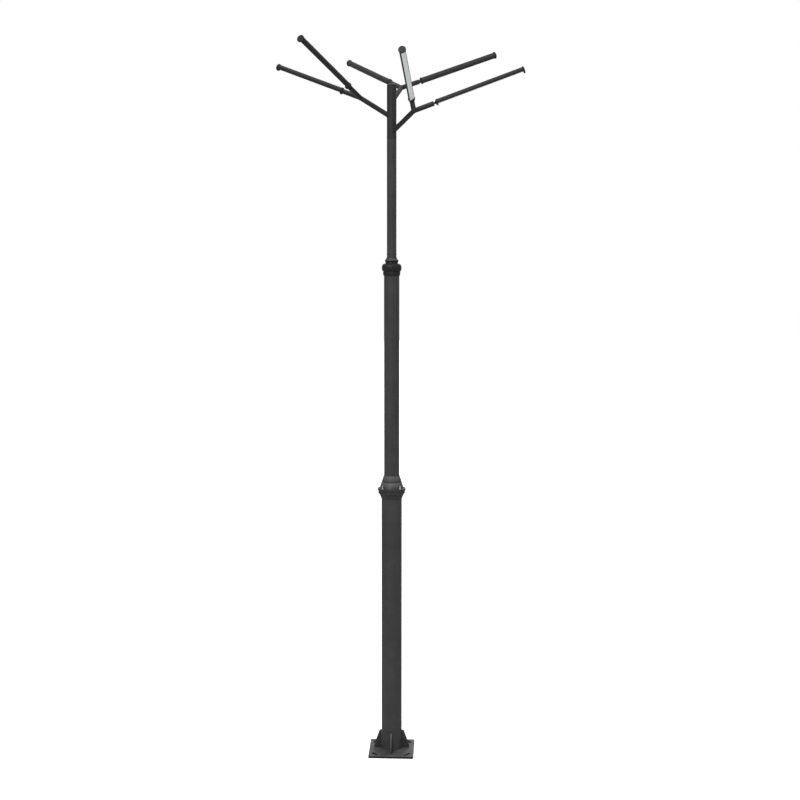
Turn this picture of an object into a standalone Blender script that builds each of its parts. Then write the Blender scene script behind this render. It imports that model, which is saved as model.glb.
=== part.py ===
"""Stepped round steel lamp post with a bolted base plate and six tubular LED luminaires.

Metres, +Z up. The post's axis is world Z and the base plate's underside is z = 0.
The service door is on the +Y side.
"""
import math

import bmesh
import bpy
from mathutils import Matrix, Vector

GAP = 0.0003            # between pieces that touch
RUN = 0.00004           # radial clearance of a shaft in its bore

# base
PLATE_SIDE = 0.400
PLATE_T = 0.020
CABLE_HOLE_R = 0.060
ANCHOR_R = 0.206        # radius of the anchor slots' centre line
ANCHOR_HALF_DEG = 7.0
ANCHOR_SLOT_W = 0.024
GUSSET_T = 0.008
GUSSET_H = 0.168
GUSSET_TOP = 0.018
GUSSET_TOE = 0.032
GUSSET_REACH = 0.066

# post tubes: outer radius and wall
LOWER_R, LOWER_WALL = 0.0910, 0.0050
MIDDLE_R, MIDDLE_WALL = 0.0677, 0.0040
TOP_R = 0.0419
SPIGOT_R, SPIGOT_BORE_R = 0.0372, 0.0340

LOWER_TOP_Z = 2.374
MIDDLE_FOOT_Z, MIDDLE_TOP_Z = 2.4283, 4.3507
TOP_FOOT_Z, SEAM_Z, SPIGOT_TOP_Z = 4.3613, 5.466, 5.578
SLEEVE_TOP_Z = 5.925
DOME_H = 0.024

# outer profiles of the two cast collars, (radius, height), foot to top
LOWER_COLLAR = [
    (0.0932, 2.3080), (0.0945, 2.3130), (0.1028, 2.3330), (0.1095, 2.3500), (0.1120, 2.3550),
    (0.1197, 2.3565), (0.1197, 2.3680), (0.1170, 2.3700), (0.1170, 2.3780), (0.1250, 2.3820),
    (0.1250, 2.4010), (0.1068, 2.4025), (0.0899, 2.4570), (0.0858, 2.4580), (0.0858, 2.4620),
    (0.0877, 2.4630), (0.0706, 2.5150),
]
UPPER_COLLAR = [
    (0.0715, 4.2840), (0.0730, 4.2900), (0.0755, 4.2990), (0.0765, 4.3170), (0.0742, 4.3190),
    (0.0742, 4.3230), (0.0808, 4.3260), (0.0846, 4.3350), (0.0868, 4.3460), (0.0868, 4.3630),
    (0.0828, 4.3770), (0.0750, 4.3860), (0.0560, 4.3925), (0.0545, 4.4010), (0.0580, 4.4080),
    (0.0607, 4.4155), (0.0580, 4.4230), (0.0503, 4.4300), (0.0450, 4.4450),
]
FLANGE_BOLT_R = 0.1085
FLANGE_BOLT_H = 0.030
POCKET_R = 0.0115

# forked arms: name, compass angle, height where the stem's axis meets the post's axis
ARMS = [("arm_1", -45.0, 5.525), ("arm_2", 195.0, 5.656), ("arm_3", 75.0, 5.787)]
NODE_REACH = 0.280      # from the post's axis to the fork
NODE_RISE = 0.161
FORK_DEG = 49.0         # each stub turns this far from its stem's compass angle
LAMP_RISE_DEG = 20.4
ARM_R, ARM_BORE_R = 0.0212, 0.0172
STUB_END = 0.182
STUB_PLUG = 0.034       # solid end of the stub that carries the swivel shaft

# luminaire stations along its own axis, from the fork
SHAFT_R, SHAFT_BORE_R, SHAFT_START = 0.0080, 0.0035, 0.152
CONE_START, CONE_END, FLANGE_END = 0.191, 0.209, 0.215
HUB_R = 0.0305
CAP_R = 0.0310
HOUSING_END = 0.9922
CAP_END = 1.0022
HOUSING_R = 0.0265
HOUSING_WALL = 0.0022
FLAT_DROP = 0.0125      # the flat side's distance from the lamp's axis
LIP_HALF = 0.0199       # half of the opening between the lips
LIP_T = 0.0020
WEB_LOW, WEB_TOP = -0.0010, 0.0015
# how far each lamp is turned about its axis from flat side down
AIM_DEG = {
    ("arm_1", "left"): 2.0, ("arm_1", "right"): 34.0,
    ("arm_2", "left"): -58.0, ("arm_2", "right"): -7.0,
    ("arm_3", "left"): -60.0, ("arm_3", "right"): 60.0,
}

# service door
DOOR_LOW_Z, DOOR_TOP_Z = 0.598, 1.018
DOOR_HALF_DEG = 34.0
OPENING_HALF_W = 0.0425
OPENING_MARGIN = 0.030
SEAL_T = 0.0022
DOOR_T = 0.0030
HINGE_DEG, HINGE_RADIUS = 129.0, 0.1000
BARREL_R, PIN_R = 0.0060, 0.0030
BARREL_H = 0.036
HINGE_Z = (0.678, 0.938)
LOCK_DEG, LOCK_Z = 70.0, 0.808
LOCK_R, LOCK_HEAD_R = 0.0080, 0.0115
TONGUE_REACH = 0.024

MATERIALS = {
    "post_paint": ((0.075, 0.078, 0.082), 0.55, 0.35),
    "collar_paint": ((0.085, 0.088, 0.092), 0.50, 0.35),
    "lamp_paint": ((0.070, 0.073, 0.077), 0.50, 0.35),
    "stainless": ((0.60, 0.60, 0.60), 0.30, 1.0),
    "opal": ((0.90, 0.90, 0.88), 0.35, 0.0),
    "led_board": ((0.92, 0.92, 0.90), 0.45, 0.0),
    "seal_rubber": ((0.03, 0.03, 0.03), 0.85, 0.0),
    "zinc": ((0.55, 0.56, 0.57), 0.45, 0.9),
    "driver_case": ((0.80, 0.80, 0.78), 0.50, 0.0),
    "terminal_plastic": ((0.35, 0.37, 0.40), 0.55, 0.0),
    "brass": ((0.75, 0.58, 0.28), 0.35, 1.0),
    "cable_rubber": ((0.04, 0.04, 0.04), 0.75, 0.0),
}


def clear_scene():
    for obj in list(bpy.data.objects):
        bpy.data.objects.remove(obj)
    for mesh in list(bpy.data.meshes):
        bpy.data.meshes.remove(mesh)


def finish(obj, material):
    """Give the object a material of its own and shade it smooth with sharp edges."""
    colour, roughness, metallic = MATERIALS[material]
    mat = bpy.data.materials.new(f"{obj.name}_{material}")
    mat.use_nodes = True
    shader = mat.node_tree.nodes["Principled BSDF"]
    shader.inputs["Base Color"].default_value = (*colour, 1.0)
    shader.inputs["Roughness"].default_value = roughness
    shader.inputs["Metallic"].default_value = metallic
    obj.data.materials.clear()
    obj.data.materials.append(mat)
    for polygon in obj.data.polygons:
        polygon.use_smooth = True
    obj.data.set_sharp_from_angle(angle=math.radians(32))
    return obj


def new_object(name, bm):
    bmesh.ops.recalc_face_normals(bm, faces=bm.faces)
    mesh = bpy.data.meshes.new(name)
    bm.to_mesh(mesh)
    bm.free()
    obj = bpy.data.objects.new(name, mesh)
    bpy.context.scene.collection.objects.link(obj)
    return obj


def lathe(name, profile, segments=40, closed=True):
    """Turn (radius, height) points round Z. A closed profile makes a ring, an open one starts
    and ends on the axis."""
    bm = bmesh.new()
    rings = []
    for radius, height in profile:
        if radius < 1e-7:
            rings.append([bm.verts.new((0.0, 0.0, height))])
            continue
        ring = []
        for i in range(segments):
            angle = 2.0 * math.pi * i / segments
            ring.append(bm.verts.new((radius * math.cos(angle), radius * math.sin(angle), height)))
        rings.append(ring)
    pairs = list(zip(rings, rings[1:]))
    if closed:
        pairs.append((rings[-1], rings[0]))
    for one, two in pairs:
        for i in range(segments):
            j = (i + 1) % segments
            if len(one) == 1:
                bm.faces.new((one[0], two[j], two[i]))
            elif len(two) == 1:
                bm.faces.new((one[i], one[j], two[0]))
            else:
                bm.faces.new((one[i], one[j], two[j], two[i]))
    return new_object(name, bm)


def prism(name, outline, low, high, matrix=None):
    """A straight solid: an (x, y) outline drawn from z = low to z = high."""
    bm = bmesh.new()
    foot = [bm.verts.new((x, y, low)) for x, y in outline]
    head = [bm.verts.new((x, y, high)) for x, y in outline]
    bm.faces.new(foot[::-1])
    bm.faces.new(head)
    count = len(outline)
    for i in range(count):
        j = (i + 1) % count
        bm.faces.new((foot[i], foot[j], head[j], head[i]))
    if matrix is not None:
        bmesh.ops.transform(bm, matrix=matrix, verts=bm.verts)
    return new_object(name, bm)


def box(name, low, high):
    outline = [(low[0], low[1]), (high[0], low[1]), (high[0], high[1]), (low[0], high[1])]
    return prism(name, outline, low[2], high[2])


def circle(radius, segments, centre=(0.0, 0.0), start=0.0, sweep=2.0 * math.pi):
    """Points of a circle, or of an arc with both ends when sweep is less than a turn."""
    full = sweep > 2.0 * math.pi - 1e-9
    steps = segments if full else segments - 1
    points = []
    for i in range(segments):
        angle = start + sweep * i / steps
        points.append((centre[0] + radius * math.cos(angle), centre[1] + radius * math.sin(angle)))
    return points


def rod(name, radius, start, end, direction, segments=32, origin=(0.0, 0.0, 0.0)):
    """A round solid along a direction, between two distances from the origin point."""
    direction = Vector(direction).normalized()
    turn = Vector((0.0, 0.0, 1.0)).rotation_difference(direction).to_matrix().to_4x4()
    matrix = Matrix.Translation(Vector(origin)) @ turn
    return prism(name, circle(radius, segments), start, end, matrix)


def bore_radius(shaft, segments):
    """Corner radius of a faceted bore whose flats clear a shaft by the running clearance."""
    return (shaft + RUN) / math.cos(math.pi / segments)


def combine(target, other, operation):
    """Apply an exact Boolean to target and remove the other object."""
    modifier = target.modifiers.new("shape", "BOOLEAN")
    modifier.object = other
    modifier.operation = operation
    modifier.solver = "EXACT"
    bpy.context.view_layer.update()
    evaluated = target.evaluated_get(bpy.context.evaluated_depsgraph_get())
    mesh = bpy.data.meshes.new_from_object(evaluated)
    target.modifiers.clear()
    old = target.data
    target.data = mesh
    bpy.data.meshes.remove(old)
    spare = other.data
    bpy.data.objects.remove(other)
    bpy.data.meshes.remove(spare)
    tidy = bmesh.new()
    tidy.from_mesh(mesh)
    bmesh.ops.remove_doubles(tidy, verts=tidy.verts, dist=0.000002)
    bmesh.ops.dissolve_degenerate(tidy, edges=tidy.edges, dist=0.000002)
    tidy.to_mesh(mesh)
    tidy.free()
    return target


def cut(target, *cutters):
    for cutter in cutters:
        combine(target, cutter, "DIFFERENCE")
    return target


def join(target, *others):
    for other in others:
        combine(target, other, "UNION")
    return target


def set_origin(obj, point):
    """Move the object's origin to a world point without moving its shape."""
    offset = Vector(point)
    obj.data.transform(Matrix.Translation(-offset))
    obj.location = offset


def polar(radius, degrees, z=0.0):
    angle = math.radians(degrees)
    return Vector((radius * math.cos(angle), radius * math.sin(angle), z))


# ---------------------------------------------------------------- base and post

def slot_outline(radius, half_deg, width, centre_deg):
    """A kidney slot: two arcs about the post's axis joined by round ends."""
    half = width / 2.0
    first = math.radians(centre_deg - half_deg)
    last = math.radians(centre_deg + half_deg)
    points = circle(radius + half, 9, start=first, sweep=last - first)
    far = (radius * math.cos(last), radius * math.sin(last))
    points += circle(half, 9, far, last, math.pi)[1:-1]
    points += circle(radius - half, 9, start=last, sweep=first - last)
    near = (radius * math.cos(first), radius * math.sin(first))
    points += circle(half, 9, near, first + math.pi, math.pi)[1:-1]
    return points


def make_base():
    half = PLATE_SIDE / 2.0
    plate = box("base_plate", (-half, -half, 0.0), (half, half, PLATE_T))
    cut(plate, prism("hole", circle(CABLE_HOLE_R, 40), -0.01, PLATE_T + 0.01))
    for angle in (45.0, 135.0, 225.0, 315.0):
        outline = slot_outline(ANCHOR_R, ANCHOR_HALF_DEG, ANCHOR_SLOT_W, angle)
        cut(plate, prism("slot", outline, -0.01, PLATE_T + 0.01))
    finish(plate, "post_paint")
    inner = LOWER_R + GAP
    outer = LOWER_R + GUSSET_REACH
    outline = [
        (inner, 0.0), (outer, 0.0), (outer, GUSSET_TOE),
        (inner + GUSSET_TOP, GUSSET_H), (inner, GUSSET_H),
    ]
    upright = Matrix.Rotation(math.radians(90.0), 4, "X")
    for i in range(4):
        place = Matrix.Translation((0.0, 0.0, PLATE_T + GAP)) @ Matrix.Rotation(
            math.radians(90.0 * i), 4, "Z") @ upright
        gusset = prism(f"gusset_{i + 1}", outline, -GUSSET_T / 2.0, GUSSET_T / 2.0, place)
        finish(gusset, "post_paint")


def make_tubes():
    lower = lathe("lower_tube", [
        (LOWER_R - LOWER_WALL, PLATE_T + GAP), (LOWER_R, PLATE_T + GAP),
        (LOWER_R, LOWER_TOP_Z), (LOWER_R - LOWER_WALL, LOWER_TOP_Z),
    ], 48)
    low = DOOR_LOW_Z + OPENING_MARGIN
    top = DOOR_TOP_Z - OPENING_MARGIN
    corner = 0.012
    outline = []
    for sx, sz, start in ((1, 1, 0), (-1, 1, 90), (-1, -1, 180), (1, -1, 270)):
        centre = (sx * (OPENING_HALF_W - corner), (top if sz > 0 else low) - sz * corner)
        outline += circle(corner, 6, centre, math.radians(start), math.pi / 2.0)
    turn = Matrix.Rotation(math.radians(90.0), 4, "X")
    cut(lower, prism("opening", outline, -0.150, -0.030, turn))
    finish(lower, "post_paint")

    middle = lathe("middle_tube", [
        (MIDDLE_R - MIDDLE_WALL, MIDDLE_FOOT_Z), (MIDDLE_R, MIDDLE_FOOT_Z),
        (MIDDLE_R, MIDDLE_TOP_Z), (MIDDLE_R - MIDDLE_WALL, MIDDLE_TOP_Z),
    ])
    finish(middle, "post_paint")

    top_tube = lathe("top_tube", [
        (SPIGOT_BORE_R, TOP_FOOT_Z), (TOP_R, TOP_FOOT_Z), (TOP_R, SEAM_Z - GAP),
        (SPIGOT_R, SEAM_Z - GAP), (SPIGOT_R, SPIGOT_TOP_Z), (SPIGOT_BORE_R, SPIGOT_TOP_Z),
    ])
    finish(top_tube, "post_paint")


def make_collars():
    """Each collar sits over the tube below on an inner shoulder and holds the tube above."""
    foot, head = LOWER_COLLAR[0][1], LOWER_COLLAR[-1][1]
    lower = lathe("lower_collar", LOWER_COLLAR + [
        (MIDDLE_R + GAP, head), (MIDDLE_R + GAP, MIDDLE_FOOT_Z - GAP),
        (0.058, MIDDLE_FOOT_Z - GAP), (0.058, LOWER_TOP_Z + GAP),
        (LOWER_R + GAP, LOWER_TOP_Z + GAP), (LOWER_R + GAP, foot),
    ])
    shelf = LOWER_COLLAR[10][1]
    for i in range(4):
        spot = polar(FLANGE_BOLT_R, 45.0 + 90.0 * i)
        pocket = prism("pocket", circle(POCKET_R, 16, (spot.x, spot.y)), shelf + 0.0008, shelf + 0.050)
        cut(lower, pocket)
        bolt = prism(f"flange_bolt_{i + 1}", circle(0.0085, 6, (spot.x, spot.y)),
                     shelf + 0.0008 + GAP, shelf + 0.012)
        stud = prism("stud", circle(0.0050, 12, (spot.x, spot.y)), shelf + 0.006, shelf + FLANGE_BOLT_H)
        join(bolt, stud)
        finish(bolt, "stainless")
    finish(lower, "collar_paint")

    foot, head = UPPER_COLLAR[0][1], UPPER_COLLAR[-1][1]
    upper = lathe("upper_collar", UPPER_COLLAR + [
        (TOP_R + GAP, head), (TOP_R + GAP, TOP_FOOT_Z - GAP),
        (0.034, TOP_FOOT_Z - GAP), (0.034, MIDDLE_TOP_Z + GAP),
        (MIDDLE_R + GAP, MIDDLE_TOP_Z + GAP), (MIDDLE_R + GAP, foot),
    ])
    finish(upper, "collar_paint")


# ---------------------------------------------------------------- head and arms

def stem_direction(degrees):
    reach = polar(NODE_REACH, degrees)
    return Vector((reach.x, reach.y, NODE_RISE)).normalized()


def lamp_direction(degrees):
    rise = math.radians(LAMP_RISE_DEG)
    flat = polar(math.cos(rise), degrees)
    return Vector((flat.x, flat.y, math.sin(rise)))


def lamp_sides(degrees):
    return (("left", degrees + FORK_DEG), ("right", degrees - FORK_DEG))


def make_head():
    sleeve = lathe("head_sleeve", [
        (SPIGOT_R + GAP, SEAM_Z), (TOP_R, SEAM_Z),
        (TOP_R, SLEEVE_TOP_Z), (SPIGOT_R + GAP, SLEEVE_TOP_Z),
    ])
    for name, degrees, height in ARMS:
        hole = rod("cable_hole", 0.0140, 0.010, 0.120, stem_direction(degrees), 20,
                   (0.0, 0.0, height))
        cut(sleeve, hole)
    finish(sleeve, "post_paint")
    lip = SLEEVE_TOP_Z + GAP
    dome = [(0.0, lip - 0.018), (SPIGOT_R - GAP, lip - 0.018), (SPIGOT_R - GAP, lip), (TOP_R, lip)]
    for i in range(6):
        angle = math.radians(90.0 * i / 6.0)
        dome.append((TOP_R * math.cos(angle), lip + 0.003 + (DOME_H - 0.003) * math.sin(angle)))
    dome.append((0.0, lip + DOME_H))
    finish(lathe("head_cap", dome, 40, closed=False), "post_paint")


def fork(name, radius, start, end, foot, stem, length, stubs, segments):
    """A Y of round rods about the fork, with a ball that covers the joint."""
    node = foot + stem * length
    solid = rod(name, radius, start, length, stem, segments, foot)
    for direction in stubs:
        join(solid, rod("stub", radius, 0.0, end, direction, segments, node))
    ball_bm = bmesh.new()
    bmesh.ops.create_uvsphere(ball_bm, u_segments=24, v_segments=14, radius=radius * 1.03)
    bmesh.ops.translate(ball_bm, vec=node, verts=ball_bm.verts)
    return join(solid, new_object("ball", ball_bm))


def make_arm(name, degrees, height):
    """A rising stem and two stubs welded at the fork, bored through for the wires."""
    foot = Vector((0.0, 0.0, height))
    stem = stem_direction(degrees)
    length = math.hypot(NODE_REACH, NODE_RISE)
    node = foot + stem * length
    stubs = [lamp_direction(angle) for side, angle in lamp_sides(degrees)]
    arm = fork(name, ARM_R, 0.020, STUB_END, foot, stem, length, stubs, 32)
    cut(arm, fork("wire_way", ARM_BORE_R, 0.0, STUB_END - STUB_PLUG, foot, stem, length, stubs, 24))
    hole = bore_radius(SHAFT_R, 32)
    for direction in stubs:
        cut(arm, rod("shaft_bore", hole, STUB_END - STUB_PLUG - 0.010, STUB_END + 0.010,
                     direction, 32, node))
    cut(arm, rod("post", TOP_R + GAP, -0.3, 0.3, (0.0, 0.0, 1.0), 40, foot))
    finish(arm, "lamp_paint")
    return node


# ---------------------------------------------------------------- luminaires

def lamp_frame(node, direction, aim_deg):
    """Local +X runs out along the lamp and local -Z is its flat side."""
    down = Vector((0.0, 0.0, -1.0))
    down = (down - down.dot(direction) * direction).normalized()
    across = direction.cross(down)
    basis = Matrix((direction, across, -down)).transposed().to_4x4()
    return Matrix.Translation(node) @ basis @ Matrix.Rotation(math.radians(aim_deg), 4, "X")


def along_x(obj):
    """Turn a solid made along Z so that it runs along X, with its outline's y staying y."""
    obj.data.transform(Matrix.Rotation(math.radians(90.0), 4, "Y"))
    return obj


def section(name, outline, start, end):
    """A lamp solid with an outline of (across, up) points."""
    return along_x(prism(name, [(-up, across) for across, up in outline], start, end))


def housing_outline():
    half = math.sqrt(HOUSING_R ** 2 - FLAT_DROP ** 2)
    start = -math.atan2(FLAT_DROP, half)
    sweep = math.pi - 2.0 * start
    return circle(HOUSING_R, 26, (0.0, 0.0), start, sweep)


def channel_outline():
    """The light chamber, open between the two lips and closed above by the web."""
    inner = HOUSING_R - HOUSING_WALL
    shelf = -FLAT_DROP + LIP_T
    side = []
    for up in (shelf, -0.0070, -0.0035, WEB_LOW):
        side.append((math.sqrt(inner ** 2 - up ** 2), up))
    right = [(LIP_HALF, -FLAT_DROP - 0.004), (LIP_HALF, shelf)] + side
    return right + [(-across, up) for across, up in reversed(right)]


def chamber_outline():
    """The wiring chamber above the web."""
    inner = HOUSING_R - HOUSING_WALL
    start = math.asin(WEB_TOP / inner)
    return circle(inner, 15, (0.0, 0.0), start, math.pi - 2.0 * start)


def diffuser_outline():
    """Opal strip with a lens between the lips and wings that rest on them."""
    shelf = -FLAT_DROP + LIP_T + GAP
    wing = 0.0213
    lens = LIP_HALF - GAP
    crown = [(lens, -FLAT_DROP + 0.0003), (0.0130, -FLAT_DROP - 0.0002), (0.0, -FLAT_DROP - 0.0004)]
    right = crown[::-1] + [(lens, shelf), (wing, shelf), (wing, shelf + 0.0012), (0.0, shelf + 0.0012)]
    left = [(-across, up) for across, up in reversed(right[1:-1])]
    return right + left


def make_lamp(arm_name, side, node, direction):
    prefix = f"{arm_name.replace('arm', 'lamp')}_{side}"
    frame = lamp_frame(node, direction, AIM_DEG[(arm_name, side)])

    hub = along_x(lathe(f"{prefix}_hub", [
        (SHAFT_BORE_R, SHAFT_START), (SHAFT_R, SHAFT_START), (SHAFT_R, CONE_START),
        (HUB_R - 0.0025, CONE_END), (HUB_R, CONE_END), (HUB_R, FLANGE_END),
        (SHAFT_BORE_R, FLANGE_END),
    ], 32))
    finish(hub, "lamp_paint")

    start = FLANGE_END + GAP
    housing = section(f"{prefix}_housing", housing_outline(), start, HOUSING_END)
    cut(housing, section("channel", channel_outline(), start - 0.01, HOUSING_END + 0.01))
    cut(housing, section("chamber", chamber_outline(), start - 0.01, HOUSING_END + 0.01))
    finish(housing, "lamp_paint")

    diffuser = section(f"{prefix}_diffuser", diffuser_outline(), start + 0.001, HOUSING_END - 0.001)
    finish(diffuser, "opal")

    board = section(f"{prefix}_led_board", [
        (0.012, WEB_LOW - GAP - 0.0016), (0.012, WEB_LOW - GAP),
        (-0.012, WEB_LOW - GAP), (-0.012, WEB_LOW - GAP - 0.0016),
    ], start + 0.012, HOUSING_END - 0.012)
    finish(board, "led_board")

    cap_start = HOUSING_END + GAP
    edge = 0.0012
    cap = along_x(lathe(f"{prefix}_end_cap", [
        (0.0, cap_start), (CAP_R - edge, cap_start), (CAP_R, cap_start + edge),
        (CAP_R, CAP_END - edge), (CAP_R - edge, CAP_END), (0.0, CAP_END),
    ], 32, closed=False))
    finish(cap, "lamp_paint")

    for obj in (hub, housing, diffuser, board, cap):
        obj.matrix_world = frame


# ---------------------------------------------------------------- door and gear

def curved_slab(name, inner, outer, half_deg, low, top, centre_deg=90.0, steps=12):
    """A piece of tube wall, from radius inner to outer, about a compass angle."""
    first = math.radians(centre_deg - half_deg)
    sweep = math.radians(2.0 * half_deg)
    outline = circle(outer, steps, start=first, sweep=sweep)
    outline += circle(inner, steps, start=first + sweep, sweep=-sweep)
    return prism(name, outline, low, top)


def make_door():
    hinge = polar(HINGE_RADIUS, HINGE_DEG)
    seal_inner = LOWER_R + GAP
    seal_outer = seal_inner + SEAL_T
    door_inner = seal_outer + GAP
    door_outer = door_inner + DOOR_T

    seal = curved_slab("door_seal", seal_inner, seal_outer, DOOR_HALF_DEG - 1.0,
                       DOOR_LOW_Z + 0.004, DOOR_TOP_Z - 0.004)
    cut(seal, curved_slab("window", seal_inner - 0.01, seal_outer + 0.01, DOOR_HALF_DEG - 4.5,
                          DOOR_LOW_Z + 0.022, DOOR_TOP_Z - 0.022))
    finish(seal, "seal_rubber")
    set_origin(seal, hinge)

    door = curved_slab("service_door", door_inner, door_outer, DOOR_HALF_DEG,
                       DOOR_LOW_Z, DOOR_TOP_Z)
    for z in HINGE_Z:
        leaf_first = math.radians(90.0 + DOOR_HALF_DEG - 2.0)
        leaf_sweep = math.radians(HINGE_DEG - 90.0 - DOOR_HALF_DEG + 2.0)
        outline = circle(HINGE_RADIUS + 0.0015, 5, start=leaf_first, sweep=leaf_sweep)
        outline += circle(door_inner + 0.0008, 5, start=leaf_first + leaf_sweep, sweep=-leaf_sweep)
        leaf = prism("leaf", outline, z, z + BARREL_H)
        barrel = prism("barrel", circle(BARREL_R, 20, (hinge.x, hinge.y)), z, z + BARREL_H)
        join(door, leaf, barrel)
        bore = circle(bore_radius(PIN_R, 20), 20, (hinge.x, hinge.y))
        cut(door, prism("bore", bore, z - 0.01, z + BARREL_H + 0.01))
    lock_axis = polar(1.0, LOCK_DEG)
    lock_point = (0.0, 0.0, LOCK_Z)
    cut(door, rod("lock_hole", bore_radius(LOCK_R, 24), 0.085, 0.115, lock_axis, 24, lock_point))
    finish(door, "post_paint")
    set_origin(door, hinge)

    for label, z in zip(("lower", "upper"), HINGE_Z):
        foot = z - GAP - 0.028
        bracket = prism(f"door_hinge_{label}", circle(BARREL_R, 20, (hinge.x, hinge.y)), foot, z - GAP)
        side = Vector((-math.sin(math.radians(HINGE_DEG)), math.cos(math.radians(HINGE_DEG))))
        out = Vector((math.cos(math.radians(HINGE_DEG)), math.sin(math.radians(HINGE_DEG))))
        outline = []
        for radial, lateral in ((LOWER_R + GAP + 0.0004, -0.006), (HINGE_RADIUS, -0.006),
                                (HINGE_RADIUS, 0.006), (LOWER_R + GAP + 0.0004, 0.006)):
            spot = out * radial + side * lateral
            outline.append((spot.x, spot.y))
        join(bracket, prism("block", outline, foot, z - GAP))
        join(bracket, prism("pin", circle(PIN_R, 20, (hinge.x, hinge.y)), foot + 0.01,
                            z + BARREL_H + 0.004))
        finish(bracket, "stainless")

    lock = rod("door_lock", LOCK_R, 0.0765, 0.0980, lock_axis, 24, lock_point)
    join(lock, rod("head", LOCK_HEAD_R, door_outer + GAP, door_outer + 0.0036, lock_axis, 24,
                   lock_point))
    across = Vector((-lock_axis.y, lock_axis.x, 0.0))
    basis = Matrix((across, Vector((0.0, 0.0, 1.0)), -lock_axis)).transposed().to_4x4()
    place = Matrix.Translation(Vector(lock_point)) @ basis
    outline = [(-0.006, -0.007), (0.006, -0.007), (0.006, TONGUE_REACH - 0.004),
               (0.003, TONGUE_REACH), (-0.003, TONGUE_REACH), (-0.006, TONGUE_REACH - 0.004)]
    join(lock, prism("tongue", outline, -0.0790, -0.0760, place))
    finish(lock, "zinc")
    set_origin(lock, polar(0.080, LOCK_DEG, LOCK_Z))


def make_gear():
    """Tray on the front wall behind the door opening, with what it carries."""
    face = -0.0270
    tray = box("gear_tray", (-0.032, face - 0.003, 0.568), (0.032, face, 1.048))
    for z in (0.568, 1.0450):
        join(tray, box("tab", (-0.026, -0.0812, z), (0.026, face - 0.0015, z + 0.003)))
    finish(tray, "zinc")
    front = face + GAP
    for i, low in enumerate((0.708, 0.873)):
        driver = box(f"led_driver_{i + 1}", (-0.022, front, low), (0.022, front + 0.030, low + 0.150))
        finish(driver, "driver_case")
    block = box("terminal_block", (-0.028, front, 0.633), (0.020, front + 0.026, 0.683))
    finish(block, "terminal_plastic")
    stud = rod("earth_stud", 0.0040, 0.0, 0.024, (0.0, 1.0, 0.0), 16, (0.0, front, 0.598))
    join(stud, rod("nut", 0.0075, 0.0, 0.0065, (0.0, 1.0, 0.0), 6, (0.0, front, 0.598)))
    finish(stud, "brass")
    riser = prism("riser_cable", circle(0.006, 12), 1.053, 5.508)
    finish(riser, "cable_rubber")


def main():
    clear_scene()
    make_base()
    make_tubes()
    make_collars()
    make_head()
    for name, degrees, height in ARMS:
        node = make_arm(name, degrees, height)
        for side, angle in lamp_sides(degrees):
            make_lamp(name, side, node, lamp_direction(angle))
    make_door()
    make_gear()


main()
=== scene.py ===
"""Looks of the lamp post: camera, light, floor, finishes and the finely made pieces.

Metres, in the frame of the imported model. The post's axis is world Z, the base plate's underside
is z = 0 and the service door is on the +Y side.
"""
import math

import bmesh
import bpy
from mathutils import Matrix, Vector


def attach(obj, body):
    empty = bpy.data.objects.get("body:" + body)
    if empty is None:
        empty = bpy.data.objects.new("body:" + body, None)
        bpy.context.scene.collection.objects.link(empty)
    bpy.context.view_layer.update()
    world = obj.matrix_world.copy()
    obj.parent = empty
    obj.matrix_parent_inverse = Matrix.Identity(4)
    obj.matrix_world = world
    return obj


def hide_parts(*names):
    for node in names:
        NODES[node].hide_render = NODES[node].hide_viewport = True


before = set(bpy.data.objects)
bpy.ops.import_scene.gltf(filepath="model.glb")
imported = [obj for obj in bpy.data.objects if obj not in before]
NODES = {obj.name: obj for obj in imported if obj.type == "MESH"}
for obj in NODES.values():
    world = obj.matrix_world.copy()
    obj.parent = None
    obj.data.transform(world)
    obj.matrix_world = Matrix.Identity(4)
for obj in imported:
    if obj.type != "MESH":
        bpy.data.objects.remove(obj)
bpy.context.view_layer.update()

# ---------------------------------------------------------------- sizes, as in the CAD
GAP = 0.0003
PLATE_T = 0.020
LOWER_R, MIDDLE_R, TOP_R = 0.0910, 0.0677, 0.0419
SLEEVE_TOP_Z, DOME_H, DOME_EDGE_H = 5.925, 0.024, 0.003
SPIGOT_R, SPIGOT_H = 0.0369, 0.018      # the part of the dome cap inside the sleeve
GUSSET_T, GUSSET_H, GUSSET_REACH = 0.008, 0.168, 0.066
GUSSET_WELD_R, ROOT_WELD_R = 0.0030, 0.0038
STEM_WELD_R, FORK_WELD_R = 0.0030, 0.0018
WELD_RIPPLE, BEAD_SIDES = 0.0024, 8
CORNER_GAP, ROOT_GAP_DEG = 0.010, 4.5   # left free of weld at the gussets' corners and sides

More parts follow.
